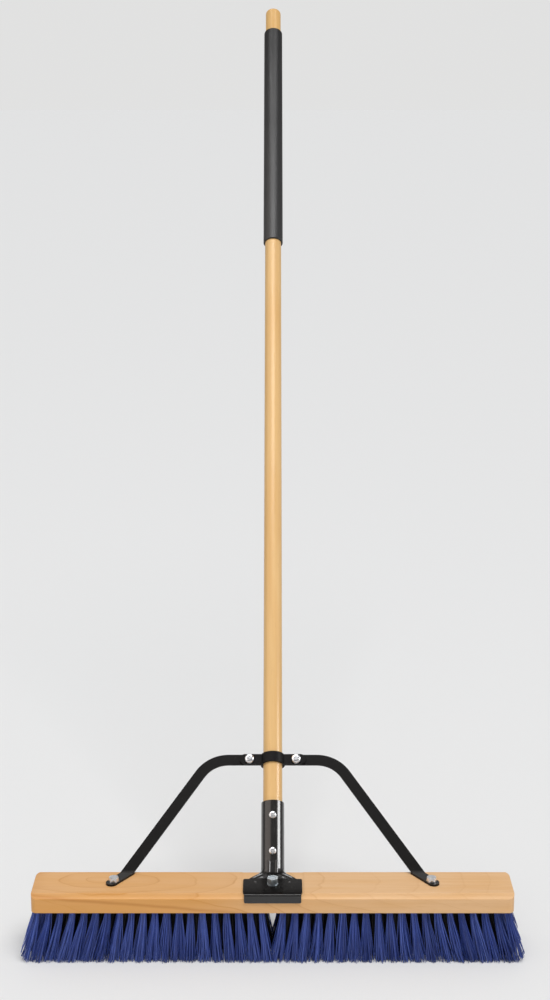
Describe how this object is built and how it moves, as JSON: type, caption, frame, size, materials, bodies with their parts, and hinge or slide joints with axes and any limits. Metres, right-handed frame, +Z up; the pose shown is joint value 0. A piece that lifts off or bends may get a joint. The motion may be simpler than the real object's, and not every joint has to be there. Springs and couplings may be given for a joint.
{
  "type": "push broom",
  "caption": "Wide push broom: a wooden block of stiff blue bristles, a leaning wooden handle in a bolted steel socket bracket, a V-shaped steel brace and a foam hand grip.",
  "frame": {"origin": "on the floor under the middle of the block, at the tips of the middle bristle row", "axes": "+X along the block, to the right of someone who faces the broom's front; +Y the way the handle leans; +Z up"},
  "size_m": [0.6396, 1.1654, 1.1872],
  "materials": {
    "block_wood": "satin varnish",
    "handle_wood": "satin varnish",
    "grip_foam": "matte foam",
    "bracket_paint": "gloss black",
    "strap_paint": "satin black",
    "zinc": "bright zinc plated",
    "anchor_wire": "plain wire",
    "bristle_blue": "satin filament",
    "bristle_dark": "satin filament"
  },
  "bodies": {
    "root": {"block": "block_wood", "handle": "handle_wood", "foam_grip": "grip_foam", "socket_bracket": "bracket_paint", "carriage_bolt": "zinc", "flat_washer": "zinc", "lock_washer": "zinc", "bolt_nut": "zinc", "socket_screw_upper": "zinc", "socket_screw_lower": "zinc", "brace_bar": "strap_paint", "handle_clamp": "strap_paint", "clamp_bolt_left": "zinc", "clamp_bolt_right": "zinc", "clamp_nut_left": "zinc", "clamp_nut_right": "zinc", "foot_screw_left": "zinc", "foot_screw_right": "zinc", "bristles_front": "bristle_blue", "bristles_front_inner": "bristle_dark", "bristles_middle": "bristle_dark", "bristles_back_inner": "bristle_dark", "bristles_back": "bristle_blue", "tuft_anchors_front": "anchor_wire", "tuft_anchors_front_inner": "anchor_wire", "tuft_anchors_middle": "anchor_wire", "tuft_anchors_back_inner": "anchor_wire", "tuft_anchors_back": "anchor_wire"}
  },
  "joints": []
}
